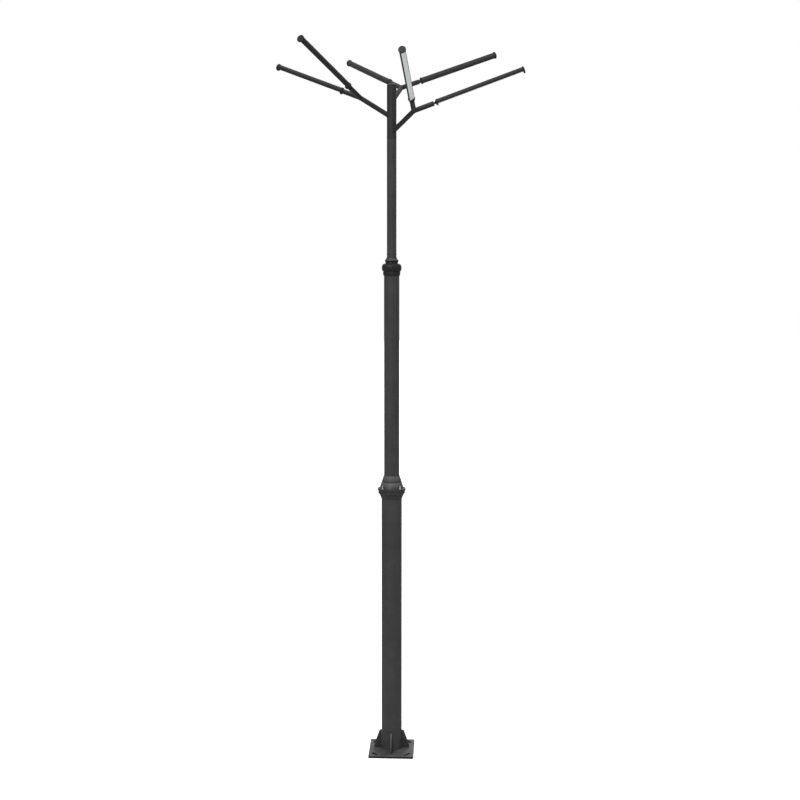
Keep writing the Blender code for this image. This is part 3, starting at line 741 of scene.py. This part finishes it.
def make_flange_nut(index):
    base = SHELF_Z + GAP
    nut_low, nut_high = base + 0.0017, SHELF_Z + NUT_TOP
    stud_low, stud_high = nut_high - 0.001, SHELF_Z + STUD_TOP
    bm = turned_mesh([
        (0.0, base), (0.0102, base), (0.0106, base + 0.0004), (0.0106, base + 0.0013),
        (0.0102, nut_low), (0.0, nut_low),
    ], 48, closed=False)
    nut = [(0.0, nut_low)] + nut_profile(0.0074, nut_low, nut_high) + [(0.0, nut_high)]
    gather(bm, turned_mesh(nut, 48, closed=False, sides=6))
    stud = [(0.0, stud_low)] + thread_profile(0.0050, stud_low, stud_high) + [(0.0, stud_high)]
    gather(bm, turned_mesh(stud, 32, closed=False))
    spot = polar(FLANGE_BOLT_R, 45.0 + 90.0 * index)
    moved(bm, Matrix.Translation(spot) @ Matrix.Rotation(math.radians(11.0 * index), 4, "Z"))
    new_piece(f"flange_nut_{index + 1}", bm, STEEL, "post", 30.0,
              stands_for=[f"flange_bolt_{index + 1}"])


def make_collars():
    outside = rounded_profile(LOWER_COLLAR, 0.0016)
    pockets = []
    for i in range(4):
        spot = polar(FLANGE_BOLT_R, 45.0 + 90.0 * i)
        pocket = turned_mesh([
            (0.0, SHELF_Z), (POCKET_R, SHELF_Z), (POCKET_R, SHELF_Z + POCKET_H),
            (0.0, SHELF_Z + POCKET_H),
        ], 40, closed=False)
        pockets.append(moved(pocket, Matrix.Translation(spot)))
    lower = cut_mesh(turned_mesh(outside + LOWER_COLLAR_INSIDE, 128), pockets)
    new_piece("collar_lower", lower, CASTING, "post", 30.0,
              stands_for=["lower_collar"])
    for i in range(4):
        make_flange_nut(i)
    upper = turned_mesh(rounded_profile(UPPER_COLLAR, 0.0014) + UPPER_COLLAR_INSIDE, 128)
    new_piece("collar_upper", upper, DARK_CASTING, "post", 30.0,
              stands_for=["upper_collar"])


# ---------------------------------------------------------------- head

def make_set_screws():
    """Cup-point set screws, sunk nearly flush in the tube wall."""
    for name, z in (("top_tube_screws", TOP_SCREWS_Z), ("sleeve_screws", SLEEVE_SCREWS_Z)):
        bm = bmesh.new()
        for angle in SCREW_DEG:
            out = polar(1.0, angle)
            seat = out * (TOP_R - 0.0018) + Vector((0.0, 0.0, z))
            screw = socket_screw_mesh(0.0048, 0.0030, 0.52)
            gather(bm, moved(screw, direction_frame(seat, out)))
        new_piece(name, bm, DARK_STEEL, "post", 30.0)


def make_head_cap():
    lip = SLEEVE_TOP_Z + GAP
    points = [
        (0.0, lip - SPIGOT_H), (SPIGOT_R, lip - SPIGOT_H), (SPIGOT_R, lip), (TOP_R - 0.0005, lip),
        (TOP_R, lip + 0.0005),
    ]
    for i in range(13):
        angle = math.radians(90.0 * i / 13.0)
        height = DOME_EDGE_H + (DOME_H - DOME_EDGE_H) * math.sin(angle)
        points.append((TOP_R * math.cos(angle), lip + height))
    points.append((0.0, lip + DOME_H))
    new_piece("dome_cap", turned_mesh(points, 96, closed=False), SLEEVE, "post",
              40.0, stands_for=["head_cap"])


def stem_direction(degrees):
    reach = polar(NODE_REACH, degrees)
    return Vector((reach.x, reach.y, NODE_RISE)).normalized()


def lamp_direction(degrees):
    rise = math.radians(LAMP_RISE_DEG)
    flat = polar(math.cos(rise), degrees)
    return Vector((flat.x, flat.y, math.sin(rise)))


def sleeve_seam(foot, stem):
    """Where the stem's outside meets the sleeve's outside."""
    side = stem.cross(Vector((0.0, 0.0, 1.0))).normalized()
    other = stem.cross(side)
    points = []
    for k in range(72):
        turn = 2.0 * math.pi * k / 72.0
        start = foot + (side * math.cos(turn) + other * math.sin(turn)) * ARM_R
        a = stem.x ** 2 + stem.y ** 2
        b = 2.0 * (start.x * stem.x + start.y * stem.y)
        c = start.x ** 2 + start.y ** 2 - TOP_R ** 2
        t = (-b + math.sqrt(b * b - 4.0 * a * c)) / (2.0 * a)
        points.append(start + stem * t)
    return points


def outside_of(point, node, direction):
    """How far a point is outside a round pipe that starts at the fork."""
    offset = point - node
    along = offset.dot(direction)
    if along < 0.0:
        return offset.length - ARM_R
    return (offset - direction * along).length - ARM_R


def fork_seam(node, one, two, third):
    """The visible part of the seam where two pipes of the fork meet."""
    along = (one + two).normalized()
    across = one.cross(two).normalized()
    half = one.angle(two) / 2.0
    points = []
    for k in range(144):
        turn = 2.0 * math.pi * k / 144.0
        point = node + across * (ARM_R * math.cos(turn))
        point += along * (ARM_R * math.sin(turn) / math.sin(half))
        if outside_of(point, node, third) > -0.0004:
            points.append((turn, point))
    start = 0
    for i in range(len(points)):
        if (points[i][0] - points[i - 1][0]) % (2.0 * math.pi) > math.radians(6.0):
            start = i
    ordered = points[start:] + points[:start]
    return [point for turn, point in ordered]


def make_arm_welds(name, degrees, height):
    """The beads at the foot and the fork of an arm. Gives back the fork's place."""
    foot = Vector((0.0, 0.0, height))
    stem = stem_direction(degrees)
    node = foot + stem * math.hypot(NODE_REACH, NODE_RISE)
    left = lamp_direction(degrees + FORK_DEG)
    right = lamp_direction(degrees - FORK_DEG)
    beads = weld_mesh(sleeve_seam(foot, stem), STEM_WELD_R, closed=True)
    for one, two, third in ((-stem, left, right), (-stem, right, left), (left, right, -stem)):
        gather(beads, weld_mesh(fork_seam(node, one, two, third), FORK_WELD_R))
    new_piece(f"{name}_welds", beads, ARM, "post", 50.0)
    return node


# ---------------------------------------------------------------- luminaires

def lamp_frame(node, direction, aim_deg):
    """Local +X runs out along the lamp and local -Z is its flat side."""
    down = Vector((0.0, 0.0, -1.0))
    down = (down - down.dot(direction) * direction).normalized()
    across = direction.cross(down)
    basis = Matrix((direction, across, -down)).transposed().to_4x4()
    return Matrix.Translation(node) @ basis @ Matrix.Rotation(math.radians(aim_deg), 4, "X")


def along_x(bm):
    """Lay a solid made along Z down along X, with its outline's y staying y."""
    return moved(bm, Matrix.Rotation(math.radians(90.0), 4, "Y"))


def section(outline, start, end, edge=0.0):
    return along_x(extruded([(-up, across) for across, up in outline], start, end, edge))


def housing_outline():
    """D-shaped tube with a wall across it and two lips round the light opening."""
    half = math.sqrt(HOUSING_R ** 2 - FLAT_DROP ** 2)
    start = -math.atan2(FLAT_DROP, half)
    steps = 56
    outer = []
    for i in range(steps + 1):
        angle = start + (math.pi - 2.0 * start) * i / steps
        outer.append((HOUSING_R * math.cos(angle), HOUSING_R * math.sin(angle)))
    inner = HOUSING_R - HOUSING_WALL
    shelf = -FLAT_DROP + LIP_T
    right = []
    for up in (shelf, -0.0080, -0.0045, WEB_LOW):
        right.append((math.sqrt(inner ** 2 - up ** 2), up))
    lip = 0.0005
    left_side = [
        (-LIP_HALF - lip, -FLAT_DROP), (-LIP_HALF, -FLAT_DROP + lip), (-LIP_HALF, shelf),
    ] + [(-across, up) for across, up in right]
    right_side = right[::-1] + [
        (LIP_HALF, shelf), (LIP_HALF, -FLAT_DROP + lip), (LIP_HALF + lip, -FLAT_DROP),
    ]
    ease = 0.0007
    outer[0] = (outer[0][0] - ease, -FLAT_DROP)
    outer.insert(1, (outer[0][0] + ease * 1.1, -FLAT_DROP + ease))
    outer[-1] = (outer[-1][0] + ease, -FLAT_DROP)
    outer.insert(-1, (outer[-1][0] - ease * 1.1, -FLAT_DROP + ease))
    return outer + left_side + right_side


def diffuser_outline():
    """Opal strip with a low crown, a shallow bead down its middle and wings behind the lips."""
    shelf = -FLAT_DROP + LIP_T + GAP
    lens = LIP_HALF - GAP
    right = [(0.0, -FLAT_DROP - 0.00005), (0.0008, -FLAT_DROP - 0.0001),
             (0.0014, -FLAT_DROP - 0.0004)]
    for i in range(1, 10):
        across = 0.0014 + (lens - 0.0019) * i / 9.0
        right.append((across, -FLAT_DROP - 0.0004 + 0.0006 * (across / lens) ** 4))
    right += [(lens, -FLAT_DROP + 0.0007), (lens, shelf), (0.0213, shelf), (0.0213, shelf + 0.0012),
              (0.0, shelf + 0.0012)]
    left = [(-across, up) for across, up in reversed(right[1:-1])]
    return right + left


def cap_screws():
    """Three countersunk screws on the outside of an end cap, facing +X."""
    bm = bmesh.new()
    for angle in (90.0, 210.0, 330.0):
        screw = socket_screw_mesh(0.0034, 0.0010, 0.45, 0.0009)
        spot = polar(CAP_SCREW_R, angle)
        gather(bm, moved(screw, Matrix.Translation((spot.x, spot.y, CAP_END - 0.0008))))
    return along_x(bm)


def board_chips():
    """Rows of square LED packages on the board's lower side."""
    bm = bmesh.new()
    top = WEB_LOW - GAP - BOARD_T
    start, end = FLANGE_END + 0.020, HOUSING_END - 0.020
    for i in range(CHIPS_IN_ROW):
        x = start + (end - start) * i / (CHIPS_IN_ROW - 1)
        for y in CHIP_ROWS:
            gather(bm, soft_box((x - CHIP_HALF, y - CHIP_HALF, top - 0.0007),
                                (x + CHIP_HALF, y + CHIP_HALF, top), 0.0002))
    return bm


def make_lamp(arm_name, side, node, direction):
    prefix = f"{arm_name.replace('arm', 'lamp')}_{side}"
    place = lamp_frame(node, direction, AIM_DEG[(arm_name, side)])
    start = FLANGE_END + GAP

    hub_profile = [
        (SHAFT_R - 0.0004, SHAFT_START), (SHAFT_R, SHAFT_START + 0.0004),
        (SHAFT_R, CONE_START - 0.0010), (SHAFT_R + 0.0010, CONE_START),
        (HUB_R - 0.0032, CONE_END - 0.0006), (HUB_R - 0.0022, CONE_END),
        (HUB_R - 0.0006, CONE_END), (HUB_R, CONE_END + 0.0006), (HUB_R, FLANGE_END - 0.0005),
        (HUB_R - 0.0005, FLANGE_END), (SHAFT_BORE_R, FLANGE_END), (SHAFT_BORE_R, SHAFT_START),
    ]
    new_piece(f"{prefix}_swivel", along_x(turned_mesh(hub_profile, 72)), LAMP, prefix,
              place=place, stands_for=[f"{prefix}_hub"])

    body = section(housing_outline(), start, HOUSING_END, 0.0003)
    new_piece(f"{prefix}_body", body, LAMP, prefix, 30.0, place=place,
              stands_for=[f"{prefix}_housing"])

    cover = section(diffuser_outline(), start + 0.001, HOUSING_END - 0.001)
    new_piece(f"{prefix}_cover", cover, OPAL, prefix, 40.0, place=place,
              stands_for=[f"{prefix}_diffuser"])

    board_top = WEB_LOW - GAP
    board = soft_box((start + BOARD_INSET, -BOARD_HALF, board_top - BOARD_T),
                     (HOUSING_END - BOARD_INSET, BOARD_HALF, board_top), 0.0003)
    new_piece(f"{prefix}_board", board, BOARD, prefix, place=place,
              stands_for=[f"{prefix}_led_board"])
    new_piece(f"{prefix}_leds", board_chips(), CHIP, prefix, place=place)

    cap_start = HOUSING_END + GAP
    cap_profile = [
        (0.0, cap_start), (CAP_R - 0.0008, cap_start), (CAP_R - 0.0002, cap_start + 0.0003),
        (CAP_R, cap_start + 0.0010), (CAP_R, CAP_END - 0.0022), (CAP_R - 0.0003, CAP_END - 0.0010),
        (CAP_R - 0.0012, CAP_END - 0.0002), (CAP_R - 0.0024, CAP_END),
        (CAP_R - 0.0030, CAP_END - 0.0004), (0.0, CAP_END - 0.0004),
    ]
    cap = along_x(turned_mesh(cap_profile, 72, closed=False))
    new_piece(f"{prefix}_cap", cap, LAMP, prefix, place=place,
              stands_for=[f"{prefix}_end_cap"])
    new_piece(f"{prefix}_cap_screws", cap_screws(), CAP_SCREW, prefix, place=place)


# ---------------------------------------------------------------- door and gear

def make_door():
    new_piece("door_panel", from_node("service_door", 0.0007, 2, 40.0), POST, "door",
              30.0, stands_for=["service_door"])
    for label in ("lower", "upper"):
        node = f"door_hinge_{label}"
        new_piece(f"hinge_bracket_{label}", from_node(node, 0.0006, 2, 40.0), STEEL, "post",
                  30.0, stands_for=[node])
    axis = polar(1.0, LOCK_DEG)
    shoulder = Vector((0.0, 0.0, LOCK_Z)) + axis * DOOR_OUTER_R
    flat = 0.0042
    head = turned_mesh([
        (0.0, 0.0), (0.0112, 0.0), (0.0115, 0.0003), (0.0115, 0.0022), (0.0108, 0.0030),
        (0.0080, 0.0032), (0.0076, 0.0026), (0.0070, 0.0026), (flat * 1.05, 0.0026, 1),
        (flat * 1.05, 0.0008, 1), (0.0, 0.0008),
    ], 72, closed=False, sides=3)
    moved(head, direction_frame(shoulder, axis))
    gather(head, from_node("door_lock", 0.0003, 1, 40.0))
    new_piece("lock_barrel", head, LOCK_ZINC, "lock", 30.0, stands_for=["door_lock"])


def make_driver(index, low_z):
    """A potted driver with a terminal cover at each end and ribs on its lid."""
    front, top_y = TRAY_FACE_Y, TRAY_FACE_Y + DRIVER_T
    high_z = low_z + DRIVER_H
    cover_y, cover_h = top_y - 0.007, 0.0175
    half = 0.0215
    case = soft_box((-0.022, front, low_z + 0.018), (0.022, top_y, high_z - 0.018), 0.0020)
    for z in (low_z, high_z - cover_h):
        gather(case, soft_box((-half, front, z), (half, cover_y, z + cover_h), 0.0012))
    for k in range(11):
        z = low_z + 0.030 + 0.009 * k
        gather(case, soft_box((-half, top_y - 0.0006, z), (half, top_y, z + 0.003), 0.00025))
    new_piece(f"driver_{index + 1}", case, CASE, "post", 30.0,
              stands_for=[f"led_driver_{index + 1}"])
    screws = bmesh.new()
    for z in (low_z + 0.009, high_z - 0.009):
        for x in (-0.0165, 0.0165):
            spot = Vector((x, cover_y - 0.0002, z))
            gather(screws, moved(socket_screw_mesh(0.0032, 0.0018, 0.45),
                                 direction_frame(spot, OUT_OF_TRAY)))
    new_piece(f"driver_{index + 1}_screws", screws, STEEL, "post", 30.0)


def make_terminals():
    """A row of terminal ways, each with a raised middle and a screw at both ends."""
    front = TRAY_FACE_Y
    step_y, low, high = front + 0.0192, TERMINAL_LOW_Z, TERMINAL_TOP_Z
    block = bmesh.new()
    screws = bmesh.new()
    pitch = TERMINAL_W / TERMINAL_WAYS
    for i in range(TERMINAL_WAYS):
        start = TERMINAL_X + pitch * i
        end = start + pitch
        gather(block, soft_box((start + 0.0002, front, low),
                               (end - 0.0002, front + 0.020, high), 0.0006))
        gather(block, soft_box((start + 0.0006, step_y, low + 0.011),
                               (end - 0.0006, front + 0.026, high - 0.011), 0.0006))
        for z in (low + 0.005, high - 0.005):
            spot = Vector((start + pitch / 2.0, step_y, z))
            gather(screws, moved(socket_screw_mesh(0.0024, 0.0016, 0.40),
                                 direction_frame(spot, OUT_OF_TRAY)))
    new_piece("terminals", block, TERMINAL, "post", 30.0,
              stands_for=["terminal_block"])
    new_piece("terminal_screws", screws, STEEL, "post", 30.0)


def make_earth_bolt():
    """A nut on the tray, a washer above it and a threaded stud through both."""
    nut = [(0.0, 0.0)] + nut_profile(0.0064, 0.0, 0.0062) + [(0.0, 0.0062)]
    stud = turned_mesh(nut, 48, closed=False, sides=6)
    thread = [(0.0, 0.0055)] + thread_profile(0.0040, 0.0055, 0.0240, 0.0012) + [(0.0, 0.0240)]
    gather(stud, turned_mesh(thread, 32, closed=False))
    gather(stud, turned_mesh([
        (0.0, 0.0100), (0.0078, 0.0100), (0.0080, 0.0104), (0.0080, 0.0112), (0.0078, 0.0116),
        (0.0, 0.0116),
    ], 40, closed=False))
    moved(stud, direction_frame((0.0, TRAY_FACE_Y, EARTH_Z), OUT_OF_TRAY))
    new_piece("earth_bolt", stud, BRASS, "post", 30.0, stands_for=["earth_stud"])


def make_gear():
    new_piece("tray", from_node("gear_tray", 0.0005, 2, 40.0), ZINC, "post", 30.0,
              stands_for=["gear_tray"])
    for i, low_z in enumerate(DRIVER_LOW_Z):
        make_driver(i, low_z)
    make_terminals()
    make_earth_bolt()


# ---------------------------------------------------------------- stage

def make_floor():
    """A pale floor with painted shade under the plate, where it is dark and does not glow. It is
    hidden
    from bounced light: the dome's lower half stands in for the light that it would throw up at the
    post."""
    g = Graph("pale_floor")
    tone = g.spread(g.noise(0.8, 3.0, 0.5), 0.3, 0.7)
    colour = g.mixed(tone, grey(0.90), grey(0.93))
    reach = g.maths("MAXIMUM", g.maths("ABSOLUTE", g.part(g.place, "X")),
                    g.maths("ABSOLUTE", g.part(g.place, "Y")))
    # painted shade under the plate: the floor is dark there and does not glow
    open_floor = g.spread(reach, FLOOR_DARK, FLOOR_PALE)
    g.wire(g.mixed(open_floor, grey(0.0), grey(1.0)), g.shader, "Emission Color")
    g.shader.inputs["Emission Strength"].default_value = FLOOR_GLOW
    g.set(colour=g.mixed(open_floor, grey(0.03), colour), rough=0.9, shine=0.1)
    bm = bmesh.new()
    bmesh.ops.create_grid(bm, x_segments=1, y_segments=1, size=FLOOR_HALF)
    mesh = bpy.data.meshes.new("floor")
    bm.to_mesh(mesh)
    bm.free()
    mesh.materials.append(g.material)
    floor = bpy.data.objects.new("floor", mesh)
    floor.location = (0.0, 0.0, FLOOR_Z)
    floor.visible_diffuse = False
    floor.visible_glossy = False
    bpy.context.scene.collection.objects.link(floor)


def make_sky():
    """White behind the post, and a soft overcast dome that lights it."""
    world = bpy.data.worlds.new("studio")
    world.use_nodes = True
    tree = world.node_tree
    dome = tree.nodes["Background"]
    place = tree.nodes.new("ShaderNodeTexCoord")
    height = tree.nodes.new("ShaderNodeSeparateXYZ")
    tree.links.new(place.outputs["Generated"], height.inputs["Vector"])
    ramp = tree.nodes.new("ShaderNodeValToRGB")
    stops = ramp.color_ramp
    stops.elements[0].position = 0.0
    stops.elements[0].color = grey(DOME_LIGHT[0])
    stops.elements[1].position = 1.0
    stops.elements[1].color = grey(DOME_LIGHT[3])
    for position, value in ((0.46, DOME_LIGHT[1]), (0.54, DOME_LIGHT[2])):   # 0.5 is the horizon
        stops.elements.new(position).color = grey(value)
    shift = tree.nodes.new("ShaderNodeMapRange")
    shift.inputs["From Min"].default_value = -1.0
    tree.links.new(height.outputs["Z"], shift.inputs["Value"])
    tree.links.new(shift.outputs["Result"], ramp.inputs["Fac"])
    tree.links.new(ramp.outputs["Color"], dome.inputs["Color"])
    backdrop = tree.nodes.new("ShaderNodeBackground")
    backdrop.inputs["Color"].default_value = grey(1.0)
    seen = tree.nodes.new("ShaderNodeLightPath")
    choice = tree.nodes.new("ShaderNodeMixShader")
    tree.links.new(seen.outputs["Is Camera Ray"], choice.inputs["Fac"])
    tree.links.new(dome.outputs["Background"], choice.inputs[1])
    tree.links.new(backdrop.outputs["Background"], choice.inputs[2])
    tree.links.new(choice.outputs["Shader"], tree.nodes["World Output"].inputs["Surface"])
    bpy.context.scene.world = world


def make_lights():
    for name, power, width, turn in SUNS:
        light = bpy.data.lights.new(name, "SUN")
        light.energy = power
        light.angle = math.radians(width)
        lamp = bpy.data.objects.new(name, light)
        lamp.rotation_euler = [math.radians(angle) for angle in turn]
        bpy.context.scene.collection.objects.link(lamp)


def make_camera():
    camera = bpy.data.cameras.new("camera")
    camera.sensor_width = 36.0
    camera.lens = camera.sensor_width * VIEW_DISTANCE / FRAME_WIDTH
    camera.shift_x = SHIFT_X
    camera.shift_y = SHIFT_Y
    camera.clip_start = 0.1
    camera.clip_end = 200.0
    turn = math.radians(VIEW_TURN_DEG)
    holder = bpy.data.objects.new("camera", camera)
    holder.location = (VIEW_DISTANCE * math.sin(turn), -VIEW_DISTANCE * math.cos(turn), VIEW_HEIGHT)
    holder.rotation_euler = (math.radians(90.0 - VIEW_TILT_DEG), 0.0, turn)
    bpy.context.scene.collection.objects.link(holder)
    bpy.context.scene.camera = holder
    bpy.context.scene.view_settings.view_transform = "Standard"


def main():
    make_camera()
    make_floor()
    make_sky()
    make_lights()
    finish_nodes()
    make_base()
    make_collars()
    make_set_screws()
    make_head_cap()
    for name, degrees, height in ARMS:
        node = make_arm_welds(name, degrees, height)
        for side, angle in (("left", degrees + FORK_DEG), ("right", degrees - FORK_DEG)):
            make_lamp(name, side, node, lamp_direction(angle))
    make_door()
    make_gear()


main()
